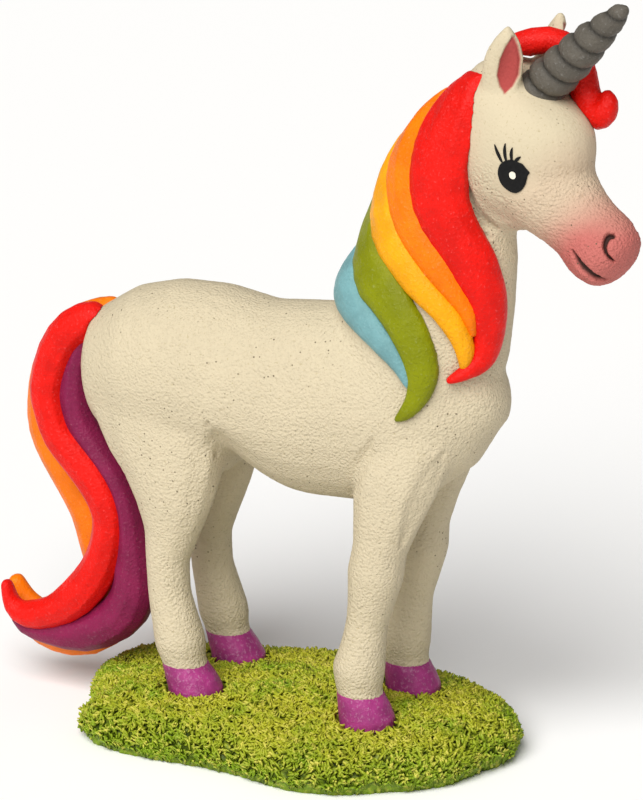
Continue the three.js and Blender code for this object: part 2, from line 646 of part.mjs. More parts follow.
addPiece('body', cut(union([
  cut(bodySolid(), headRoom, pegSolid(...tailPeg, clearance), ...hoofRooms),
  pegSolid(...neckPeg), ...legPegs.map((ends) => pegSolid(...ends)),
])), 'coat');
addPiece('head', cut(
  head, placed(eyeSolid(-1, clearance)), placed(eyeSolid(1, clearance)),
  placed(pegSolid(...hornPeg, clearance)), pegSolid(...neckPeg, clearance)), 'coat');
addPiece('grass_base', cut(baseSolid(), ...hoofRooms), 'grass');
feet.forEach((foot, i) => {
  addPiece(`hoof_${foot.name}`, cut(hoofSolid(foot), pegSolid(...legPegs[i], clearance)), 'purple');
});
addPiece('horn', cut(placed(hornSolid()), headRoom).add(placed(pegSolid(...hornPeg))), 'horn');
addPiece('forelock', cut(placed(forelockSolid()), headRoom, bodyRoom, placed(hornSolid(clearance))), 'red');
mane.forEach(({ name, solid }, i) => {
  const above = mane.slice(0, i).map(({ room }) => room);
  addPiece(name, cut(solid, bodyRoom, headRoom, ...above), name.replace('mane_', ''));
});
tails.forEach(({ name, solid }, i) => {
  const above = tails.slice(0, i).map(({ room }) => room);
  if (i) above.push(pegSolid(...tailPeg, clearance));
  const lockSolid = cut(solid, bodyRoom, ...above);
  addPiece(name, i ? lockSolid : lockSolid.add(pegSolid(...tailPeg)), name.replace('tail_', ''));
});
addPiece('eye_right', placed(eyeSolid(-1)).intersect(head), 'black');
addPiece('eye_left', placed(eyeSolid(1)).intersect(head), 'black');

export default model;
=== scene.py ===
"""A cast and painted resin unicorn on a patch of grass, an ornament for an aquarium.

The CAD model gives each piece's place and size. Each piece is modelled over its own node.
"""

import math
import random

import bpy
import numpy as np
from mathutils import Matrix, Vector


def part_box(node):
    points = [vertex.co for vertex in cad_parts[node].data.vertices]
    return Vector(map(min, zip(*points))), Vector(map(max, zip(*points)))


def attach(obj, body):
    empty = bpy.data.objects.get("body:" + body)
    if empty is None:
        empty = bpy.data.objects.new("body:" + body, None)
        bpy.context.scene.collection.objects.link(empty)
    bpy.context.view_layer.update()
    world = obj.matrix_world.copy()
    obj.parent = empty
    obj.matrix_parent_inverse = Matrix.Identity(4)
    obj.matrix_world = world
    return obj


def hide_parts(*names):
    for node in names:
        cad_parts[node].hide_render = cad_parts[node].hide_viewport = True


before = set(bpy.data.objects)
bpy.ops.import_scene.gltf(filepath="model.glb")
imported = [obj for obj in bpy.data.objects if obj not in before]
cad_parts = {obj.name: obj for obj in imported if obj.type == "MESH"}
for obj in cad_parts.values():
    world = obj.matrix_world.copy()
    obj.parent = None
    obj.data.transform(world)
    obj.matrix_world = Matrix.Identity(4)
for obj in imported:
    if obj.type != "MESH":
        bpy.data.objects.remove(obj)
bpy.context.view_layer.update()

bl_info = {
    "name": "Resin unicorn ornament",
    "version": (1, 0, 0),
    "blender": (4, 5, 0),
    "location": "View3D > Sidebar > Ornament",
    "description": "Models and paints a cast resin unicorn over its CAD frame",
    "category": "Object",
}

MM = 0.001

# The head's own frame, at the middle of the skull, turned to the right
HEAD = (Matrix.Translation(Vector((45.5, -0.4, 120.5)) * MM)
        @ Matrix.Rotation(math.radians(-17), 4, "Z"))
# The cut between head and neck: a point on it and the way it faces
THROAT = (Vector((38.5, 0, 116.5)) * MM, Vector((0.85, 0, 0.53)).normalized())


def linear(code):
    """The linear colour of an sRGB hex code."""
    parts = [int(code[i:i + 2], 16) / 255 for i in (0, 2, 4)]
    return tuple(c / 12.92 if c <= 0.04045 else ((c + 0.055) / 1.055) ** 2.4 for c in parts)


# Settings

def length(name, description, millimetres):
    return bpy.props.FloatProperty(
        name=name, description=description, default=millimetres * MM, unit="LENGTH", precision=5)


def colour(name, description, code):
    return bpy.props.FloatVectorProperty(
        name=name, description=description, default=linear(code), size=3, subtype="COLOR",
        min=0, max=1)


def number(name, description, value):
    return bpy.props.FloatProperty(name=name, description=description, default=value)


def count(name, description, value):
    return bpy.props.IntProperty(name=name, description=description, default=value, min=1)


def angle(name, description, degrees):
    return bpy.props.FloatProperty(
        name=name, description=description, default=math.radians(degrees), subtype="ANGLE")


class CastSizes(bpy.types.PropertyGroup):
    coat_mesh: length("Coat mesh", "Distance between the points of the coat's skin", 0.5)
    lock_mesh: length("Lock mesh", "Distance between the points of a lock's skin", 0.4)
    hoof_mesh: length("Hoof mesh", "Distance between the points of a hoof's skin", 0.35)
    joint: length("Joint", "Gap between the CAD pieces, which the glue and paint fill", 0.3)
    grain_height: length("Grain height", "How far the sandy grain of the casting stands up", 0.11)
    grain_width: length("Grain width", "Distance between the larger grains", 0.95)
    sand_height: length("Sand height", "How far the fine grain on the face stands up", 0.2)
    sand_width: length("Sand width", "Distance between the fine grains on the face", 0.62)


class FaceSizes(bpy.types.PropertyGroup):
    mouth_width: length("Mouth width", "Width of the mouth's groove", 2.4)
    mouth_depth: length("Mouth depth", "Depth of the mouth's groove", 1.2)
    nostril_width: length("Nostril width", "Width of the nostril's groove", 1.5)
    nostril_depth: length("Nostril depth", "Depth of the nostril's groove", 1.0)
    eye_thickness: length("Eye thickness", "How far the painted eye stands off the head", 0.2)
    glint: length("Glint", "Width of the white dot in the eye", 1.15)
    lash_width: length("Lash width", "Width of a lash at its middle", 0.66)


class HornSizes(bpy.types.PropertyGroup):
    length: length("Length", "From the forehead to the tip", 25.9)
    sunk: length("Sunk", "How far the foot is let into the forehead", 5.0)
    radius: length("Radius", "At the foot", 4.45)
    pitch: length("Pitch", "Rise of the groove in one turn", 4.15)
    groove: length("Groove", "Depth of the groove", 1.05)
    lean: angle("Lean", "Forward lean from upright", 47)


class GrassSizes(bpy.types.PropertyGroup):
    blades: count("Blades", "Number of short blades all over the base", 13600)
    blade_length: length("Blade length", "Length of a blade", 1.9)
    blade_width: length("Blade width", "Width of a blade at its middle", 0.88)
    mesh: length("Ground mesh", "Distance between the points of the ground", 0.5)


class PaintColours(bpy.types.PropertyGroup):
    coat: colour("Coat", "Matt cream paint", "CBBD9F")
    # Painted shade in the pits of the grain
    coat_pit_shade: colour("Coat pits", "Cream in the pits of the grain", "B5A683")
    speck: colour("Specks", "Dark specks in the casting", "5F523D")
    blush: colour("Blush", "Pink sprayed on the muzzle", "BC645D")
    lining: colour("Ear lining", "Rose in the ears", "A8433F")
    mouth: colour("Mouth", "Brown in the mouth and nostrils", "33170F")
    red: colour("Red", "Red locks", "E6150A")
    orange: colour("Orange", "Orange locks", "FB7C00")
    yellow: colour("Yellow", "Yellow lock", "F7A70E")
    green: colour("Green", "Green lock", "828802")
    blue: colour("Blue", "Blue lock", "75A3A6")
    purple: colour("Purple", "Purple lock", "831E48")
    hoof: colour("Hoof", "Hooves", "A6377C")
    horn: colour("Horn", "Horn", "605A50")
    eye: colour("Eye", "Eye and lashes", "050404")
    grass: colour("Grass", "Sides of the blades", "B0B02A")
    grass_mid: colour("Darker grass", "Sides of the blades where the green is deeper", "7E9A18")
    grass_tip: colour("Grass tips", "Yellow on some tips", "CFC654")
    # Painted shade between the blades and at their feet
    grass_shade: colour("Deep grass", "Between the blades", "3B4A06")


class StageSettings(bpy.types.PropertyGroup):
    azimuth: angle("Azimuth", "Camera's way round from the right side", 24.7)
    elevation: angle("Elevation", "Camera's height above level", 18)
    distance: length("Distance", "Camera to what it looks at", 750)
    lens: number("Lens", "Focal length in millimetres on a 36 mm sensor", 180)
    key: number("Key light", "Watts per square metre", 3.8)
    spread: angle("Spread", "How wide the key light is, which softens its shadows", 48)
    world: number("World", "Strength of the even light", 0.2)
    floor: colour("Floor", "Pale floor", "F9F8F6")


SETTINGS = {
    "ornament_cast": CastSizes,
    "ornament_face": FaceSizes,
    "ornament_horn": HornSizes,
    "ornament_grass": GrassSizes,
    "ornament_paint": PaintColours,
    "ornament_stage": StageSettings,
}


# Modelling

def only(obj):
    """Select one object and nothing else."""
    bpy.ops.object.select_all(action="DESELECT")
    obj.select_set(True)
    bpy.context.view_layer.objects.active = obj
    return obj


def add(primitive, **settings):
    """A new primitive, with nothing else selected."""
    bpy.ops.object.select_all(action="DESELECT")
    primitive(**settings)
    return bpy.context.active_object


def edit(piece, operation, **settings):
    """Run one operation on the whole mesh of a piece, in edit mode."""
    only(piece)
    bpy.ops.object.mode_set(mode="EDIT")
    bpy.ops.mesh.select_all(action="SELECT")
    operation(**settings)
    bpy.ops.object.mode_set(mode="OBJECT")


def refine(piece, kind, chosen, cuts=1):
    """Divide the chosen edges or faces, so that fine relief has points to follow."""
    only(piece)
    bpy.ops.object.mode_set(mode="EDIT")
    bpy.ops.mesh.select_mode(type=kind)
    bpy.ops.mesh.select_all(action="DESELECT")
    bpy.ops.object.mode_set(mode="OBJECT")
    items = {"EDGE": piece.data.edges, "FACE": piece.data.polygons}[kind]
    items.foreach_set("select", chosen)
    bpy.ops.object.mode_set(mode="EDIT")
    bpy.ops.mesh.subdivide(number_cuts=cuts)
    bpy.ops.object.mode_set(mode="OBJECT")


def joined(pieces):
    """One piece made of several, whose parts keep their materials."""
    only(pieces[0])
    for piece in pieces:
        piece.select_set(True)
    if len(pieces) > 1:
        bpy.ops.object.join()
    return only(pieces[0])


def merged(names, title):
    """One object that holds copies of CAD nodes, with their doubles merged."""
    copies = []
    for name in names:
        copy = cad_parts[name].copy()
        copy.data = copy.data.copy()
        copy.parent = None
        copy.animation_data_clear()
        for key in list(copy.keys()):
            del copy[key]
        bpy.context.scene.collection.objects.link(copy)
        copies.append(copy)
    piece = joined(copies)
    piece.name = piece.data.name = title
    piece.data.materials.clear()
    edit(piece, bpy.ops.mesh.remove_doubles, threshold=0.0001 * MM)
    return piece


def modify(piece, kind, weights=None, **settings):
    """Add a modifier and apply it, as strongly at each point as its weight says."""
    only(piece)
    if weights is not None:
        group = piece.vertex_groups.new(name="weights")
        for i in np.nonzero(weights > 0)[0]:
            group.add([int(i)], float(weights[i]), "REPLACE")
        settings["vertex_group"] = group.name
    modifier = piece.modifiers.new(kind.lower(), kind)
    for key, value in settings.items():
        setattr(modifier, key, value)
    bpy.ops.object.modifier_apply(modifier=modifier.name)
    if weights is not None:
        piece.vertex_groups.remove(piece.vertex_groups["weights"])


def swell(piece, distance, weights=None):
    """Move the surface outward, or inward where the distance is below zero."""
    modify(piece, "DISPLACE", weights, strength=distance, mid_level=0)


def grain(piece, height, width, weights=None):
    """The sandy surface that the mould leaves on the casting."""
    texture = bpy.data.textures.new("grain", "CLOUDS")
    texture.noise_scale = width
    modify(piece, "DISPLACE", weights, strength=height, mid_level=0.5, texture=texture,
           texture_coords="GLOBAL")


def smooth(piece, rounds, weights=None):
    modify(piece, "SMOOTH", weights, factor=0.5, iterations=rounds)


def cast(names, title, mesh, rounds, growth):
    """A closed skin over CAD nodes: their joints closed, their edges rounded as a casting's are."""
    joint = bpy.context.scene.ornament_cast.joint
    piece = merged(names, title)
    swell(piece, joint + growth)
    modify(piece, "REMESH", mode="VOXEL", voxel_size=mesh, adaptivity=0)
    swell(piece, -joint)
    smooth(piece, rounds)
    return piece


def stand_for(piece, node):
    """Let a piece stand for its CAD node."""
    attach(piece, "root")
    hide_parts(node)


def finish(piece, node, material):
    """Paint a piece and let it stand for its CAD node."""
    only(piece)
    bpy.ops.object.shade_smooth()
    piece.data.materials.clear()
    piece.data.materials.append(material)
    stand_for(piece, node)


def gather(items, name):
    """A vector of each item, one in a row."""
    rows = np.empty(len(items) * 3)
    items.foreach_get(name, rows)
    return rows.reshape(-1, 3)


def points(piece):
    return gather(piece.data.vertices, "co")


def centres(piece):
    return gather(piece.data.polygons, "center")


def move(piece, places):
    """Put each point of a piece in its place."""
    piece.data.vertices.foreach_set("co", places.ravel())
    piece.data.update()


def away_from(path, places, widths=None):
    """Distance from each place to a path of straight stretches, as a share of the path's half
    width there, or in metres where no half widths are given."""
    path = np.array([tuple(p) for p in path])
    widths = np.ones(len(path)) if widths is None else np.array(widths)
    best = np.full(len(places), np.inf)
    for start, end, first, last in zip(path, path[1:], widths, widths[1:]):
        way = end - start
        share = np.clip((places - start) @ way / (way @ way), 0, 1)
        gap = np.linalg.norm(places - start - share[:, None] * way, axis=1)
        best = np.minimum(best, gap / (first + share * (last - first)))
    return best


def soft_step(values):
    """From 0 to 1 without a corner, where the values go from 0 to 1."""
    values = np.clip(values, 0, 1)
    return values * values * (3 - 2 * values)


def paint(piece, name, values):
    """Keep how strongly a colour lies at each point, for the material to read."""
    attributes = piece.data.attributes
    attribute = attributes.get(name) or attributes.new(name, "FLOAT", "POINT")
    attribute.data.foreach_set("value", values.astype(np.float32))


def read_paint(piece, name):
    values = np.empty(len(piece.data.vertices), np.float32)
    piece.data.attributes[name].data.foreach_get("value", values)
    return values


def carve(piece, path, widths, depth, name=""):
    """Press a groove along a path into the piece, and paint it where it has a colour's name."""
    away = away_from(path, points(piece), widths)
    # The groove fades out a little past its half width, and its paint ends just inside that
    swell(piece, -depth, soft_step(1.25 - away))
    if name:
        paint(piece, name, np.maximum(read_paint(piece, name), soft_step(2.2 - 2.4 * away)))


def half(piece, title, place, facing):
    """The part of a piece on the side that facing points to, closed where it is cut."""
    copy = piece.copy()
    copy.data = piece.data.copy()
    copy.name = copy.data.name = title
    bpy.context.scene.collection.objects.link(copy)
    edit(copy, bpy.ops.mesh.bisect, plane_co=place, plane_no=facing, use_fill=True,
         clear_inner=True, clear_outer=False, threshold=0.001 * MM)
    return copy


# Materials
#
# A pattern's scale is one over the real size of its lumps, in metres.

def add_node(tree, kind, inputs=None, **settings):
    """Add a node with its settings, each input set to a value or linked, and give its outputs."""
    node = tree.nodes.new("ShaderNode" + kind)
    for key, value in settings.items():
        setattr(node, key, value)
    for key, value in (inputs or {}).items():
        socket = node.inputs[key]
        if isinstance(value, bpy.types.NodeSocket):
            tree.links.new(value, socket)
        else:
            socket.default_value = (*value, 1) if socket.type == "RGBA" else value
    return node.outputs


def layered(tree, base, *layers):
    """Colours laid one over another, each as far as its pattern has gone from low to high."""
    for pattern, low, high, tone in layers:
        share = add_node(tree, "MapRange", {"Value": pattern, "From Min": low, "From Max": high})[0]
        # A mix of colours has its share at 0, its colours at 6 and 7, and comes out at 2
        base = add_node(tree, "Mix", {0: share, 6: base, 7: tone}, data_type="RGBA")[2]
    return base


def together(tree, *patterns):
    """Where all the patterns lie at once, each as far as it has gone from low to high."""
    share = 1
    for pattern, low, high in patterns:
        step = add_node(tree, "MapRange", {"Value": pattern, "From Min": low, "From Max": high})[0]
        share = add_node(tree, "Math", {0: share, 1: step}, operation="MULTIPLY")[0]
    return share


def start(name):
    """A new material with its nodes, and the place of a point on the object."""
    material = bpy.data.materials.new(name)
    material.use_nodes = True
    tree = material.node_tree
    tree.nodes.clear()
    return material, tree, add_node(tree, "TexCoord")["Object"]


def surface(material, tree, base, height, depth, roughness, specular=0.5):
    """Close a material, with relief that is depth high where height is 1."""
    normal = add_node(tree, "Bump", {"Height": height, "Strength": 1, "Distance": depth})[0]
    shader = add_node(tree, "BsdfPrincipled", {
        "Base Color": base, "Roughness": roughness, "Specular IOR Level": specular,
        "Normal": normal})
    add_node(tree, "OutputMaterial", {"Surface": shader[0]})
    return material


def shade(rgb, factor):
    return tuple(min(1, c * factor) for c in rgb)


def lighten(rgb, share):
    return tuple(c + (1 - c) * share for c in rgb)


def lock_paint(tone):
    """Satin acrylic on cast polyresin: soft darker clouds in the colour, and a painted sheen of
    paler flecks on the sandy grain, with painted shade in its pits.
    """
    colour_of_lock = tuple(getattr(bpy.context.scene.ornament_paint, tone))
    dark = shade(colour_of_lock, 0.8)
    light = lighten(shade(colour_of_lock, 1.15), 0.1)
    material, tree, place = start("satin_acrylic_" + tone)
    patch = add_node(tree, "TexNoise", {"Vector": place, "Scale": 1 / (5 * MM), "Detail": 3})[0]
    fine = add_node(tree, "TexNoise", {
        "Vector": place, "Scale": 1 / (0.55 * MM), "Detail": 3, "Roughness": 0.6})[0]
    # Over the clouds, the paler flecks are painted sheen where the grain stands up, and the darker
    # colour is painted shade where it dips
    base = layered(
        tree, dark, (patch, 0.35, 0.65, colour_of_lock), (fine, 0.6, 0.9, light),
        (fine, 0.42, 0.3, dark))
    return surface(material, tree, base, fine, 0.26 * MM, 0.4, 0.16)


def coat_paint():
    """Matt cream acrylic over the sandy cast, with painted shade that makes it a little darker in
    the pits, and a few dark specks. Pink is sprayed softly over the muzzle, and the mouth and ears
    are painted by brush."""
    colours = bpy.context.scene.ornament_paint
    material, tree, place = start("matt_cream_acrylic_on_polyresin")
    pits = add_node(tree, "TexNoise", {
        "Vector": place, "Scale": 1 / (0.48 * MM), "Detail": 3, "Roughness": 0.55})[0]
    lumps = add_node(
        tree, "TexVoronoi", {"Vector": place, "Scale": 1 / (0.46 * MM)},
        feature="SMOOTH_F1")["Distance"]
    sandy = add_node(tree, "Attribute", attribute_name="sandy")["Fac"]
    grains = add_node(tree, "Math", {0: pits, 1: lumps}, operation="SUBTRACT")[0]
    grains = add_node(tree, "Math", {0: grains, 1: sandy}, operation="MULTIPLY")[0]
    # Each cell may hold one speck at its middle, and more than half of them do where specks gather
    cells = add_node(
        tree, "TexVoronoi", {"Vector": place, "Scale": 1 / (1.15 * MM)}, feature="F1")
    area = add_node(tree, "TexNoise", {"Vector": place, "Scale": 1 / (16 * MM), "Detail": 2})[0]
    specks = together(
        tree, (cells["Distance"], 0.18, 0.1), (cells["Color"], 0.56, 0.57), (area, 0.44, 0.56))
    patch = add_node(tree, "TexNoise", {"Vector": place, "Scale": 1 / (14 * MM), "Detail": 3})[0]
    # Painted shade darkens the cream in the pits of the grain, where its bump dips
    base = layered(
        tree, shade(colours.coat, 0.95), (patch, 0.3, 0.7, colours.coat),
        (pits, 0.4, 0.26, colours.coat_pit_shade),
        (add_node(tree, "Attribute", attribute_name="blush")["Fac"], 0, 1, colours.blush),
        (specks, 0, 1, colours.speck),
        (add_node(tree, "Attribute", attribute_name="lining")["Fac"], 0, 1, colours.lining),
        (add_node(tree, "Attribute", attribute_name="mouth")["Fac"], 0, 1, colours.mouth))
    return surface(material, tree, base, grains, 0.26 * MM, 0.75, 0.35)


def horn_paint():
    """Matt brown-grey acrylic, a little paler on the rolls, and dark with painted shade in the
    groove.
    """
    grey = bpy.context.scene.ornament_paint.horn
    material, tree, place = start("matt_grey_acrylic_on_polyresin")
    fine = add_node(tree, "TexNoise", {
        "Vector": place, "Scale": 1 / (0.6 * MM), "Detail": 3, "Roughness": 0.6})[0]
    patch = add_node(tree, "TexNoise", {"Vector": place, "Scale": 1 / (3 * MM), "Detail": 3})[0]
    groove = add_node(tree, "Attribute", attribute_name="groove")["Fac"]
    # The groove's dark colour is painted shade, darkest at its bottom
    base = layered(
        tree, shade(grey, 0.82), (patch, 0.35, 0.7, grey), (fine, 0.6, 0.8, lighten(grey, 0.14)),
        (groove, 0, 1, shade(grey, 0.25)))
    return surface(material, tree, base, fine, 0.3 * MM, 0.6, 0.35)


def hoof_paint():
    """Satin purple acrylic, brushed on: soft paler strokes, and a few paler pink grains on the tops
    of the grain, partly dry-brushed paint and partly painted sheen.
    """
    purple = bpy.context.scene.ornament_paint.hoof
    material, tree, place = start("satin_purple_acrylic_on_polyresin")
    fine = add_node(tree, "TexNoise", {
        "Vector": place, "Scale": 1 / (0.6 * MM), "Detail": 3, "Roughness": 0.6})[0]
    patch = add_node(tree, "TexNoise", {"Vector": place, "Scale": 1 / (3.5 * MM), "Detail": 3})[0]
    # The paler pink grains follow the bump: partly dry-brushed paint, partly painted sheen
    base = layered(
        tree, shade(purple, 0.68), (patch, 0.35, 0.65, purple),
        (fine, 0.55, 0.9, lighten(purple, 0.26)))
    return surface(material, tree, base, fine, 0.14 * MM, 0.4, 0.35)


def grass_paint():
    """Satin green acrylic: painted shade in deep green between the blades, olive on them and
    yellow brushed on some."""
    colours = bpy.context.scene.ornament_paint
    material, tree, place = start("satin_green_acrylic_on_polyresin")
    height = add_node(tree, "SeparateXYZ", {"Vector": place})["Z"]
    tip = add_node(tree, "Attribute", attribute_name="tip")["Fac"]
    patch = add_node(tree, "TexNoise", {"Vector": place, "Scale": 1 / (9 * MM), "Detail": 3})[0]
    single = add_node(tree, "TexNoise", {"Vector": place, "Scale": 1 / (1.3 * MM), "Detail": 1})[0]
    fine = add_node(tree, "TexNoise", {"Vector": place, "Scale": 1 / (0.4 * MM), "Detail": 3})[0]
    # The top of the mound is more olive than its side
    olive = together(tree, (patch, 0.3, 0.55), (height, 2 * MM, 9 * MM))
    brushed = together(tree, (single, 0.5, 0.66), (tip, 0.5, 1))
    blades = layered(tree, colours.grass_mid, (olive, 0, 1, colours.grass))
    # Painted shade: deep green where the tip share is low, at the blades' feet and in the mound's
    # hollows
    base = layered(
        tree, colours.grass_shade, (tip, 0.15, 0.72, blades), (brushed, 0, 1, colours.grass_tip))
    return surface(material, tree, base, fine, 0.1 * MM, 0.5, 0.3)


def eye_paint():
    """Gloss black enamel, a smooth film with a soft shine."""
    black = bpy.context.scene.ornament_paint.eye
    material, tree, place = start("gloss_black_enamel")
    fine = add_node(tree, "TexNoise", {"Vector": place, "Scale": 1 / (0.6 * MM)})[0]
    base = layered(tree, black, (fine, 0, 1, lighten(black, 0.01)))
    return surface(material, tree, base, fine, 0.01 * MM, 0.3, 0.15)


def glint_paint():
    """White enamel, a smooth dot with a soft shine."""
    material, tree, place = start("white_enamel")
    fine = add_node(tree, "TexNoise", {"Vector": place, "Scale": 1 / (0.5 * MM)})[0]
    base = layered(tree, linear("E2DAC4"), (fine, 0, 1, linear("F0EADA")))
    return surface(material, tree, base, fine, 0.02 * MM, 0.35)


# Coat

# A side of the head: a path's way out to the side is multiplied by it
RIGHT, LEFT = -1, 1

HOOVES = ("hoof_front_right", "hoof_front_left", "hoof_rear_right", "hoof_rear_left")
# How far the skin of the coat stands out from the solids
COAT_GROWTH = 0.14 * MM
# How far the belly rises in front of the thighs, in millimetres
FLANK_RISE = 5.4
# From the skull to the end of the muzzle, in the head's frame
MUZZLE_WAY = (0.72, 0, -0.7)
LINING_DEPTH = 0.45 * MM
# How far beside the mouth and nostrils the skin has finer faces
FINE_REACH = 1.5 * MM
# How far the coat is drawn in where the hooves cover it
HOOF_INSET = 0.6 * MM
# On the side of the head: [forward, up] in the head's frame, in millimetres
EYE_MIDDLE = (5.2, -2.9)

# Grooves in the face: [forward, out to the side, up] in the head's frame, in millimetres, and the
# share of the groove's full width there
MOUTH = [
    (16.4, 6.2, -15.2, 0.35), (16.9, 6.2, -15.9, 0.55), (17.5, 6.2, -16.9, 0.8),
    (18.3, 6.0, -17.9, 1.0), (19.4, 5.5, -18.8, 0.95), (20.3, 4.6, -19.7, 0.9),
    (20.7, 3.7, -20.2, 0.7), (21.2, 2.8, -20.3, 0.4),
]
NOSTRIL = [
    (23.1, 3.2, -11.7, 0.8), (22.7, 3.6, -11.7, 1.0), (22.5, 4.0, -12.0, 1.0),
    (22.4, 4.5, -12.7, 0.85), (22.5, 4.9, -13.6, 0.65), (22.8, 4.9, -14.5, 0.55),
    (23.3, 4.5, -15.4, 0.5), (23.6, 3.4, -16.3, 0.3),
]

# The edge of the jaw and the hollow of the throat below it, in the same way
JAW = [
    (-5.6, 9.5, -6.1, 0.5), (-5.2, 9.2, -8.3, 0.8), (-4.8, 8.7, -10.4, 1), (-3.9, 7.8, -12.3, 1),
    (-3.0, 6.3, -13.7, 0.8), (-2.2, 5.0, -14.5, 0.4),
]
THROAT_HOLLOW = [
    (-5.0, 8.6, -13.2, 0.8), (-3.9, 7.7, -14.7, 0.9), (-3.2, 6.6, -15.7, 0.5),
]
# The grooves behind the cheek: path, half width and depth in millimetres
CHEEK_GROOVES = [(JAW, 1.3, 1.3), (THROAT_HOLLOW, 2.6, 0.9)]

# The hollow of an ear: [forward, outward, up, half width] in the head's frame, from its foot
EAR_HOLLOW = [
    (1.8, 0.1, 2.0, 0.2), (2.0, 0.1, 3.0, 1.2), (2.5, 0.3, 5.0, 2.0), (3.2, 0.5, 8.0, 1.9),
    (3.7, 0.75, 10.5, 1.2), (4.0, 0.9, 12.2, 0.3),
]

# Folds of the coat: the points on the right side, the half width at each, and the depth, all in
# millimetres. They are the flank's in front of the thigh, the elbow's and the forearm's.
FOLDS = [
    ([(-11.4, -14.0, 64.8), (-10.8, -13.7, 63.2), (-10.3, -13.0, 61.6), (-10.2, -12.1, 59.6),
      (-10.6, -10.9, 58.0), (-11.4, -9.0, 57.0)],
     [0.3, 0.6, 0.9, 1.1, 1.0, 0.5], 0.8),
    ([(21.8, -13.0, 65.7), (20.4, -12.4, 62.4), (19.0, -12.1, 59.2), (17.8, -11.6, 56.6),
      (15.5, -7.7, 53.0)],
     [0.5, 1.4, 1.9, 1.7, 0.8], 0.5),
    ([(27.3, -11.6, 45.5), (28.7, -11.7, 49.5), (30.3, -11.4, 53.9), (32.0, -10.7, 57.6),
      (33.4, -10.0, 60.8), (34.4, -9.4, 63.5)],
     [0.8, 1.7, 2.3, 2.5, 2.0, 0.8], 0.55),
]


def on_face(skin, path, hand):
    """The points of the head's skin nearest to a path, on the side that hand says."""
    return [skin.closest_point_on_mesh(HEAD @ (Vector((x, hand * y, z)) * MM))[1]
            for x, y, z, _ in path]


def in_head_frame(places):
    """Places as the head sees them, in millimetres."""
    back = HEAD.inverted()
    return (places @ np.array(back.to_3x3()).T + np.array(back.translation)) / MM


def past_throat(places):
    """How far places lie on the head's side of the cut."""
    place, facing = THROAT
    return (places - np.array(place)) @ np.array(facing)


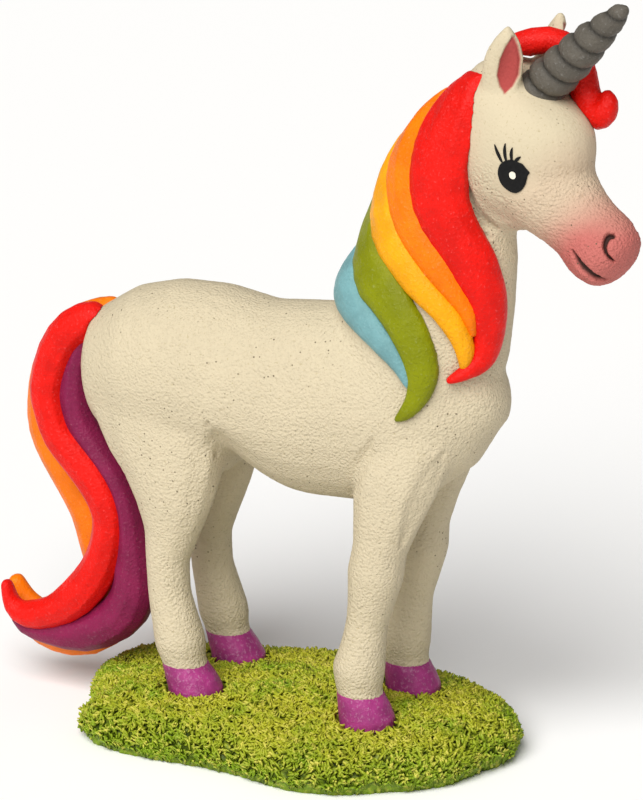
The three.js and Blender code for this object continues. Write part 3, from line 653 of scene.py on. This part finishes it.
class CoatOperator(bpy.types.Operator):
    """Model the cream coat, one skin over neck, trunk and legs and one over the head"""
    bl_idname = "ornament.coat"
    bl_label = "Coat"

    def execute(self, context):
        sizes = context.scene.ornament_cast
        whole = cast(["body", "head", "eye_right", "eye_left", *HOOVES], "coat",
                     sizes.coat_mesh, 8, COAT_GROWTH)
        self.tuck(whole)
        self.soften(whole)
        self.fold(whole)
        grooves = self.face_grooves(whole, context.scene.ornament_face)
        local = in_head_frame(points(whole))
        in_head = past_throat(points(whole)) > 0
        self.blush(whole, local, in_head)
        hollows = self.lining(local)
        paint(whole, "lining", hollows)
        swell(whole, -LINING_DEPTH, hollows)
        paint(whole, "mouth", np.zeros(len(local)))
        for path, widths, depth in grooves:
            carve(whole, path, widths, depth, "mouth")
        self.sand(whole, local, in_head, sizes)
        self.draw_in(whole)
        place, facing = THROAT
        head = half(whole, "head_skin", place, facing)
        body = half(whole, "body_skin", place, -facing)
        bpy.data.objects.remove(whole)
        material = coat_paint()
        finish(head, "head", material)
        finish(body, "body", material)
        return {"FINISHED"}

    @staticmethod
    def tuck(skin):
        """Raise the belly where the flank tucks up. The rise starts 2 mm ahead of the middle, grows
        back to the thighs and ends there, and it fades out up the side of the trunk."""
        places = points(skin)
        ahead, height = places[:, 0] / MM, places[:, 2] / MM
        rise = FLANK_RISE * np.clip((2 - ahead) / 13, 0, 1) ** 1.6 * soft_step((ahead + 12.6) / 1.5)
        rise *= soft_step((66 - height) / 10) * (height > 40)
        places[:, 2] += rise * MM
        move(skin, places)

    @staticmethod
    def soften(skin):
        """Smooth the skin, its thin ears least, and give the head finer faces."""
        local = in_head_frame(points(skin))
        # The ears stand above the skull, off its middle and not behind it
        ears = (local[:, 2] > 10.5) & (np.abs(local[:, 1]) > 3.8) & (local[:, 0] > -8)
        smooth(skin, 20, np.where(ears, 0.2, 1.0))
        refine(skin, "FACE", past_throat(centres(skin)) > -0.5 * MM)
        smooth(skin, 2)

    @staticmethod
    def fold(skin):
        """Press in the folds on both sides, and the grooves behind the cheek on the right."""
        for path, widths, depth in FOLDS:
            for mirror in (1, -1):
                carve(skin, [Vector((x, mirror * y, z)) * MM for x, y, z in path],
                      [width * MM for width in widths], depth * MM)
        for path, width, depth in CHEEK_GROOVES:
            widths = [width * share * MM for *_, share in path]
            carve(skin, on_face(skin, path, RIGHT), widths, depth * MM)

    @staticmethod
    def face_grooves(skin, face):
        """The mouth and the nostril on each side: their paths, half widths and depths. The skin
        gets finer faces along them."""
        grooves = []
        for hand in (RIGHT, LEFT):
            for path, width, depth in ((MOUTH, face.mouth_width, face.mouth_depth),
                                       (NOSTRIL, face.nostril_width, face.nostril_depth)):
                widths = [width / 2 * share for *_, share in path]
                grooves.append((on_face(skin, path, hand), widths, depth))
        for path, _, _ in grooves:
            refine(skin, "FACE", away_from(path, centres(skin)) < FINE_REACH)
        return grooves

    @staticmethod
    def blush(skin, local, in_head):
        """Pink over the muzzle, paler above the nostrils, with a faint haze behind it."""
        ahead = local @ np.array(MUZZLE_WAY)
        # Each goes from nothing to full between two distances in millimetres
        above = soft_step((local[:, 2] + 13) / 5)
        pink = 0.82 * soft_step((ahead - 12.5) / 10) * (1 - 0.3 * above)
        haze = 0.15 * soft_step((ahead - 3) / 9)
        paint(skin, "blush", in_head * (pink + haze))

    @staticmethod
    def lining(local):
        """How strongly the rose paint lies in the hollow of each ear."""
        shares = np.zeros(len(local))
        forward, outward, ups, halves = (np.array(row) for row in zip(*EAR_HOLLOW))
        for hand in (RIGHT, LEFT):
            # The way the hollow looks, the way across it, and its foot on the front of the ear
            facing = np.array((0.44, hand * 0.9, 0))
            side = np.array((0.9, hand * -0.44, 0))
            foot = np.array((-0.8, hand * 6.2, 9.3)) + 1.9 * facing
            up = local[:, 2] - foot[2]
            middle = np.stack(
                [np.interp(up, ups, forward), hand * np.interp(up, ups, outward), up], axis=1)
            gap = local - foot - middle
            half_width = np.interp(up, ups, halves)
            # Inside the hollow's sides, between its ends, and in front of the ear's back
            level = np.minimum(up - ups[0], ups[-1] - up) + 0.4
            inside = np.minimum((half_width + 0.15 - np.abs(gap @ side)) / 0.4, level / 0.5)
            inside = np.minimum(inside, (gap @ facing + 2.3) / 0.3)
            shares = np.maximum(shares, soft_step(inside) * (np.abs(gap @ facing) < 4))
        return shares

    @staticmethod
    def sand(skin, local, in_head, sizes):
        """Give the skin its sandy grain, calmer on the forehead and round the eyes and mouth."""
        from_eye = np.hypot(local[:, 0] - EYE_MIDDLE[0], local[:, 2] - EYE_MIDDLE[1])
        # 1 is a smooth surface and 0 is full grain
        forehead = 1 - soft_step((1 - local[:, 2]) / 6)
        calm = in_head * np.maximum(forehead, soft_step((5 - from_eye) / 1.2))
        calm = np.maximum(0.75 * calm, 0.8 * read_paint(skin, "mouth"))
        paint(skin, "sandy", 1 - calm)
        grain(skin, sizes.grain_height, sizes.grain_width, 1 - calm)
        grain(skin, sizes.sand_height, sizes.sand_width, in_head * (1 - calm))

    @staticmethod
    def draw_in(skin):
        """Draw the feet in below the tops of the hooves, which cover them."""
        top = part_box(HOOVES[0])[1][2] - 0.1 * MM
        swell(skin, -HOOF_INSET, soft_step((top - points(skin)[:, 2]) / (0.6 * MM)))


# Locks

# Each lock's colour, its rounds of smoothing, and how far its skin stands out to close the joint
# beside it, in millimetres
LOCKS = {
    "forelock": ("red", 3, 0.12),
    "mane_red": ("red", 12, 0.35),
    "mane_orange": ("orange", 14, 0.6),
    "mane_yellow": ("yellow", 14, 0.5),
    "mane_green": ("green", 14, 0.4),
    "mane_blue": ("blue", 14, 0.4),
    "tail_red": ("red", 12, 0.35),
    "tail_purple": ("purple", 14, 0.85),
    "tail_orange": ("orange", 14, 0.5),
}
# More rounds of smoothing where the mane lies over the crest of the neck
CREST_ROUNDS = 70
# The locks' grain, as a share of the coat's
LOCK_GRAIN = 0.6


def lock(node):
    """Model a lock over its node, in the paint of its colour."""
    sizes = bpy.context.scene.ornament_cast
    tone, rounds, growth = LOCKS[node]
    piece = cast([node], node + "_lock", sizes.lock_mesh, rounds, growth * MM)
    if node.startswith("mane"):
        smooth(piece, CREST_ROUNDS, soft_step((points(piece)[:, 1] / MM + 8) / 5))
    grain(piece, LOCK_GRAIN * sizes.grain_height, sizes.grain_width)
    finish(piece, node, bpy.data.materials.get("satin_acrylic_" + tone) or lock_paint(tone))


class ManeOperator(bpy.types.Operator):
    """Model the five locks of the mane and the forelock"""
    bl_idname = "ornament.mane"
    bl_label = "Mane"

    def execute(self, context):
        for node in LOCKS:
            if not node.startswith("tail"):
                lock(node)
        return {"FINISHED"}


class TailOperator(bpy.types.Operator):
    """Model the three locks of the tail"""
    bl_idname = "ornament.tail"
    bl_label = "Tail"

    def execute(self, context):
        for node in LOCKS:
            if node.startswith("tail"):
                lock(node)
        return {"FINISHED"}


# Horn

# Where the horn's axis leaves the forehead: [forward, out to the side, up] in the head's frame,
# in millimetres
HORN_FOOT = (3.425, 0, 10.85)
HORN_RINGS, HORN_SIDES = 150, 56


class HornOperator(bpy.types.Operator):
    """Model the horn, a column with one groove that winds round it like rope"""
    bl_idname = "ornament.horn"
    bl_label = "Horn"

    def execute(self, context):
        sizes = context.scene.ornament_horn
        piece = add(bpy.ops.mesh.primitive_cylinder_add, vertices=HORN_SIDES, radius=1, depth=1,
                    end_fill_type="TRIFAN")
        piece.name = piece.data.name = "rope_horn"
        ends = np.array([tuple(edge.vertices) for edge in piece.data.edges])
        heights = points(piece)[:, 2][ends]
        refine(piece, "EDGE", np.abs(heights[:, 0] - heights[:, 1]) > 0.5, HORN_RINGS - 1)
        total = sizes.length + sizes.sunk
        foot = Vector(HORN_FOOT) * MM
        axis = Vector((math.sin(sizes.lean), 0, math.cos(sizes.lean)))
        side = Vector((0, 1, 0))
        through = axis.cross(side)
        groove_shade = []
        for vertex in piece.data.vertices:
            x, y, z = vertex.co
            up = z + 0.5
            round_way = math.atan2(y, x)
            # The groove climbs one pitch in a turn, between full rolls
            turn = up * total / sizes.pitch - round_way / (2 * math.pi)
            ridge = abs(math.sin(math.pi * turn)) ** 0.55
            # The column narrows slowly and then fast, and ends in a round tip
            taper = 1 - 0.12 * up - 0.62 * up ** 3.2
            tip = math.sqrt(max(0, 1 - max(0, (up - 0.94) / 0.0605) ** 2))
            radius = (sizes.radius - sizes.groove * (1 - ridge)) * taper * tip
            radius *= min(1, math.hypot(x, y))
            # How much painted shade lies in the groove, most at its bottom
            groove_shade.append(min(1, 1.3 * (1 - ridge)) ** 2)
            vertex.co = HEAD @ (
                foot + axis * (up * total - sizes.sunk)
                + side * radius * math.sin(round_way) - through * radius * math.cos(round_way))
        edit(piece, bpy.ops.mesh.normals_make_consistent, inside=False)
        paint(piece, "groove", np.array(groove_shade))
        grain(piece, 0.3 * MM, 1.0 * MM)
        finish(piece, "horn", horn_paint())
        return {"FINISHED"}


# Hooves

HOOF_GROWTH = 0.16 * MM
# The hooves' grain, as a share of the coat's
HOOF_GRAIN = 1.6


class HoovesOperator(bpy.types.Operator):
    """Model the four hooves"""
    bl_idname = "ornament.hooves"
    bl_label = "Hooves"

    def execute(self, context):
        sizes = context.scene.ornament_cast
        material = hoof_paint()
        for node in HOOVES:
            piece = cast([node], "painted_" + node, sizes.hoof_mesh, 3, HOOF_GROWTH)
            grain(piece, HOOF_GRAIN * sizes.grain_height, HOOF_GRAIN * sizes.grain_width)
            finish(piece, node, material)
        return {"FINISHED"}


# Eyes

# On the side of the head: [forward, up] in the head's frame, in millimetres
EYE = [
    (2.36, -3.26), (2.43, -1.79), (3.16, -0.49), (4.18, 0.12), (5.32, 0.29), (6.23, -0.01),
    (7.08, -0.3), (7.67, -1.08), (8.24, -1.92), (7.78, -2.44), (7.56, -3.37), (7.17, -4.49),
    (6.52, -5.46), (5.48, -6.11), (4.34, -5.98), (3.4, -5.38), (2.62, -4.31),
]
DOT = (5.2, -2.6)
# Each lash's root, bend and tip
LASHES = [
    [(3.35, -0.55), (2.35, 1.12), (1.77, 2.6)],
    [(4.1, -0.3), (3.62, 1.5), (3.9, 3.05)],
    [(5.15, -0.1), (4.85, 1.3), (5.24, 2.45)],
    [(5.6, -0.25), (6.1, 0.5), (6.75, 0.9)],
]
# How far out from the head's middle the paint is laid from, in millimetres
LAID_FROM = 14


class EyesOperator(bpy.types.Operator):
    """Model the two painted eyes with their lashes and white dots"""
    bl_idname = "ornament.eyes"
    bl_label = "Eyes"

    def execute(self, context):
        face = context.scene.ornament_face
        black, white = eye_paint(), glint_paint()
        middle = Vector(EYE_MIDDLE)
        turns, reaches = zip(*sorted(
            (math.atan2(z - middle.y, x - middle.x), math.dist((x, z), middle)) for x, z in EYE))

        def eye_reach(turn):
            return np.interp(turn, turns, reaches, period=2 * math.pi)

        def dot_reach(turn):
            return face.glint / MM / 2 * (1 + 0.2 * abs(math.sin(turn)))

        for name, hand in (("eye_right", RIGHT), ("eye_left", LEFT)):
            parts = [self.disc(middle, eye_reach, hand, face.eye_thickness, black)]
            for path in LASHES:
                parts.append(self.stroke(
                    path, face.lash_width / MM, hand, 0.8 * face.eye_thickness, black))
            parts.append(self.disc(Vector(DOT), dot_reach, hand, 1.7 * face.eye_thickness, white))
            piece = joined(parts)
            piece.name = piece.data.name = "painted_" + name
            bpy.ops.object.shade_smooth_by_angle(angle=math.radians(50))
            stand_for(piece, name)
        return {"FINISHED"}

    def disc(self, middle, reach, hand, thickness, material):
        """A spot of paint round a middle, drawn out as far each way as reach says."""
        piece = add(bpy.ops.mesh.primitive_circle_add, vertices=48, radius=1, fill_type="TRIFAN")
        edit(piece, bpy.ops.mesh.subdivide, number_cuts=7)
        flat = []
        for vertex in piece.data.vertices:
            turn = math.atan2(vertex.co.y, vertex.co.x)
            far = reach(turn) * math.hypot(vertex.co.x, vertex.co.y)
            flat.append((middle.x + far * math.cos(turn), middle.y + far * math.sin(turn)))
        return self.lay(piece, flat, hand, thickness, material)

    def stroke(self, path, width, hand, thickness, material):
        """A brush stroke along a path, widest at its middle and pointed at its tip."""
        root, bend, tip = (Vector(p) for p in path)
        piece = add(bpy.ops.mesh.primitive_grid_add, x_subdivisions=14, y_subdivisions=4, size=1)
        flat = []
        for vertex in piece.data.vertices:
            share, across = vertex.co.x + 0.5, 2 * vertex.co.y
            place = root.lerp(bend, share).lerp(bend.lerp(tip, share), share)
            along = (bend - root).lerp(tip - bend, share).normalized()
            half_width = width / 2 * math.sin(math.pi * (0.12 + 0.86 * share)) ** 0.8
            flat.append(tuple(place + across * half_width * Vector((-along.y, along.x))))
        return self.lay(piece, flat, hand, thickness, material)

    @staticmethod
    def lay(piece, flat, hand, thickness, material):
        """Lay a flat patch on the side of the head, as a thin coat of paint."""
        head = bpy.data.objects["head_skin"]
        inward = (HEAD.to_3x3() @ Vector((0, -hand, 0))).normalized()
        for vertex, (x, z) in zip(piece.data.vertices, flat):
            outside = HEAD @ (Vector((x, hand * LAID_FROM, z)) * MM)
            found, place, _, _ = head.ray_cast(outside, inward)
            if not found:
                raise RuntimeError("the eye misses the head")
            vertex.co = place
        smooth(piece, 3)
        modify(piece, "SOLIDIFY", thickness=2 * thickness, offset=0)
        edit(piece, bpy.ops.mesh.normals_make_consistent, inside=False)
        piece.data.materials.clear()
        piece.data.materials.append(material)
        return piece


# Grass

# The height and the width of the mound's lumps between the blades
LUMP = 1.1 * MM
# How far the mound is let down under its blades
LET_DOWN = 0.25 * MM


class GrassOperator(bpy.types.Operator):
    """Model the base as a low mound covered in short blades"""
    bl_idname = "ornament.grass"
    bl_label = "Grass"

    def execute(self, context):
        sizes = context.scene.ornament_grass
        ground = merged(["grass_base"], "grass_mound")
        modify(ground, "REMESH", mode="VOXEL", voxel_size=sizes.mesh, adaptivity=0)
        smooth(ground, 6)
        blade = self.blade(sizes)
        blades = self.sow(ground, blade, sizes)
        bpy.data.objects.remove(blade)
        self.ruffle(ground)
        material = grass_paint()
        finish(ground, "grass_base", material)
        finish(blades, "grass_base", material)
        return {"FINISHED"}

    @staticmethod
    def ruffle(ground):
        """Let the mound down a little under its blades and give it lumps, with painted shade in
        their hollows, so they are paler on top.
        """
        swell(ground, -LET_DOWN)
        before = points(ground)
        facing = gather(ground.data.vertex_normals, "vector")
        grain(ground, LUMP, LUMP)
        places = points(ground)
        rise = ((places - before) * facing).sum(axis=1)
        # The underside stays flat
        places[places[:, 2] < 0.7 * MM, 2] = 0
        move(ground, places)
        # The tip share sets the painted shade: dark in the hollows, paler on the lumps and within
        # 2.5 mm of the floor
        near_floor = places[:, 2] < 2.5 * MM
        paint(ground, "tip", np.clip(0.4 + 1.2 * rise / MM + 0.25 * near_floor, 0, 0.75))

    @staticmethod
    def blade(sizes):
        """One short blade with three sides, thick in the middle and bent over."""
        tall, width = sizes.blade_length, sizes.blade_width
        piece = add(bpy.ops.mesh.primitive_cone_add, vertices=3, radius1=0.28 * width,
                    radius2=0.16 * width, depth=tall, location=(0, 0, tall / 2))
        bpy.ops.object.transform_apply(location=True, rotation=True, scale=True)
        edit(piece, bpy.ops.mesh.bisect, plane_co=(0, 0, 0.5 * tall), plane_no=(0, 0, 1))
        for vertex in piece.data.vertices:
            up = vertex.co.z / tall
            if 0.3 < up < 0.8:
                vertex.co.x *= 2.3
                vertex.co.y *= 2.3
            vertex.co.x -= 0.8 * tall * (up - 0.5) ** 2
        edit(piece, bpy.ops.mesh.quads_convert_to_tris)
        return piece

    @staticmethod
    def sow(ground, blade, sizes):
        """Copies of the blade, spread evenly over the mound. On top they lie every way, and down
        its side they lie up and down it. None grows where a hoof stands."""
        chance = random.Random(7)
        mesh = ground.data
        # Not on the underside or where the side turns in below
        faces = [f for f in mesh.polygons if f.center.z > 0.8 * MM and f.normal.z > -0.3]
        weights = [f.area for f in faces]
        # The middle and the size of each hoof's foot, half a millimetre wider all round
        feet = []
        for low, high in map(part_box, HOOVES):
            feet.append(((low[0] + high[0]) / 2, (low[1] + high[1]) / 2,
                         high[0] - low[0] + 1 * MM, high[1] - low[1] + 1 * MM))
        shape = points(blade) - np.array((0, 0, 0.4 * sizes.blade_length))
        triangles = np.array([tuple(f.vertices) for f in blade.data.polygons])
        all_points, all_faces, tips = [], [], []
        for face in chance.choices(faces, weights, k=sizes.blades):
            corners = [mesh.vertices[v].co for v in face.vertices]
            a, b = chance.random(), chance.random()
            spot = corners[0].lerp(corners[1], a).lerp(corners[3].lerp(corners[2], a), b)
            if any(math.hypot((spot.x - x) / along, (spot.y - y) / across) < 0.5
                   for x, y, along, across in feet):
                continue
            # The blade lies along the surface, and up it where it is steep, and its tip stands off
            steep = 1 - max(0, face.normal.z)
            lie = Vector((chance.gauss(0, 1), chance.gauss(0, 1), chance.gauss(0, 1)))
            lie = (lie - lie.project(face.normal)).normalized() + 1.1 * steep * Vector((0, 0, 1))
            up = (lie.normalized() + chance.uniform(0.15, 0.65) * face.normal).normalized()
            side = face.normal.cross(up).normalized()
            size = chance.uniform(0.75, 1.15)
            turn = np.array(Matrix((up.cross(side) * -1, side, up)).transposed())
            placed = size * shape @ turn.T
            all_faces.append(triangles + len(all_points) * len(shape))
            # The higher a point stands off the mound, the less painted shade it takes and the more
            # of the tips' colour
            high = placed @ np.array(face.normal) / MM
            tips.append(np.clip(chance.uniform(0.2, 0.5) + 1.1 * high, 0, 1))
            placed = placed + np.array(spot)
            placed[:, 2] = np.maximum(placed[:, 2], 0.1 * MM)
            all_points.append(placed)
        data = bpy.data.meshes.new("grass_blades")
        data.from_pydata(
            np.concatenate(all_points).tolist(), [], np.concatenate(all_faces).tolist())
        piece = bpy.data.objects.new("grass_blades", data)
        bpy.context.scene.collection.objects.link(piece)
        paint(piece, "tip", np.concatenate(tips))
        return piece


# Stage

# What the camera looks at, in millimetres
LOOK_AT = (4.0, 3.7, 66.0)
# The way from the ornament to the key light
KEY_FROM = (0.0, -0.68, 0.72)
# The side of the floor, in metres
FLOOR_SIDE = 6


class StageOperator(bpy.types.Operator):
    """Lay the pale floor, hang the soft lights and set the camera"""
    bl_idname = "ornament.stage"
    bl_label = "Stage"

    def execute(self, context):
        settings = context.scene.ornament_stage
        self.floor(settings)
        self.camera(settings)
        self.lights(settings)
        context.scene.view_settings.view_transform = "Standard"
        return {"FINISHED"}

    @staticmethod
    def floor(settings):
        """A floor of matt white paper, which gives back a soft even light."""
        floor = add(bpy.ops.mesh.primitive_plane_add, size=FLOOR_SIDE)
        floor.name = "floor"
        material, tree, _ = start("matt_white_paper")
        shader = add_node(tree, "BsdfPrincipled", {"Base Color": settings.floor, "Roughness": 0.9})
        add_node(tree, "OutputMaterial", {"Surface": shader[0]})
        floor.data.materials.append(material)

    @staticmethod
    def camera(settings):
        """The camera, to the right of the ornament, ahead of it and above."""
        back = Vector((
            math.sin(settings.azimuth) * math.cos(settings.elevation),
            -math.cos(settings.azimuth) * math.cos(settings.elevation),
            math.sin(settings.elevation)))
        data = bpy.data.cameras.new("camera")
        data.lens = settings.lens
        data.sensor_width = 36
        data.clip_start = 0.01
        camera = bpy.data.objects.new("camera", data)
        camera.location = Vector(LOOK_AT) * MM + settings.distance * back
        camera.rotation_euler = back.to_track_quat("Z", "Y").to_euler()
        bpy.context.scene.collection.objects.link(camera)
        bpy.context.scene.camera = camera

    @staticmethod
    def lights(settings):
        """Even light from all round, and one wide soft light from the right and above."""
        world = bpy.data.worlds.new("even_light")
        world.use_nodes = True
        background = world.node_tree.nodes["Background"]
        background.inputs["Color"].default_value = (1, 1, 1, 1)
        background.inputs["Strength"].default_value = settings.world
        bpy.context.scene.world = world
        data = bpy.data.lights.new("key", "SUN")
        data.energy, data.angle = settings.key, settings.spread
        lamp = bpy.data.objects.new("key", data)
        lamp.rotation_euler = Vector(KEY_FROM).to_track_quat("Z", "Y").to_euler()
        bpy.context.scene.collection.objects.link(lamp)


# Panel and registration

PIECES = [CoatOperator, ManeOperator, TailOperator, HornOperator, HoovesOperator, EyesOperator,
          GrassOperator]


class OrnamentPanel(bpy.types.Panel):
    """Steps that model the ornament"""
    bl_idname = "VIEW3D_PT_ornament"
    bl_label = "Resin unicorn"
    bl_space_type = "VIEW_3D"
    bl_region_type = "UI"
    bl_category = "Ornament"

    def draw(self, context):
        for operator in [*PIECES, StageOperator]:
            self.layout.operator(operator.bl_idname)
        for name, group in SETTINGS.items():
            box = self.layout.box()
            for key in group.__annotations__:
                box.prop(getattr(context.scene, name), key)


def register():
    for group in SETTINGS.values():
        bpy.utils.register_class(group)
    for name, group in SETTINGS.items():
        setattr(bpy.types.Scene, name, bpy.props.PointerProperty(type=group))
    for item in [*PIECES, StageOperator, OrnamentPanel]:
        bpy.utils.register_class(item)


def unregister():
    for item in [OrnamentPanel, StageOperator, *reversed(PIECES)]:
        bpy.utils.unregister_class(item)
    for name in SETTINGS:
        delattr(bpy.types.Scene, name)
    for group in SETTINGS.values():
        bpy.utils.unregister_class(group)


def main():
    register()
    bpy.ops.ornament.stage()
    bpy.ops.ornament.coat()
    bpy.ops.ornament.mane()
    bpy.ops.ornament.tail()
    bpy.ops.ornament.horn()
    bpy.ops.ornament.hooves()
    bpy.ops.ornament.eyes()
    bpy.ops.ornament.grass()


if __name__ == "__main__":
    main()
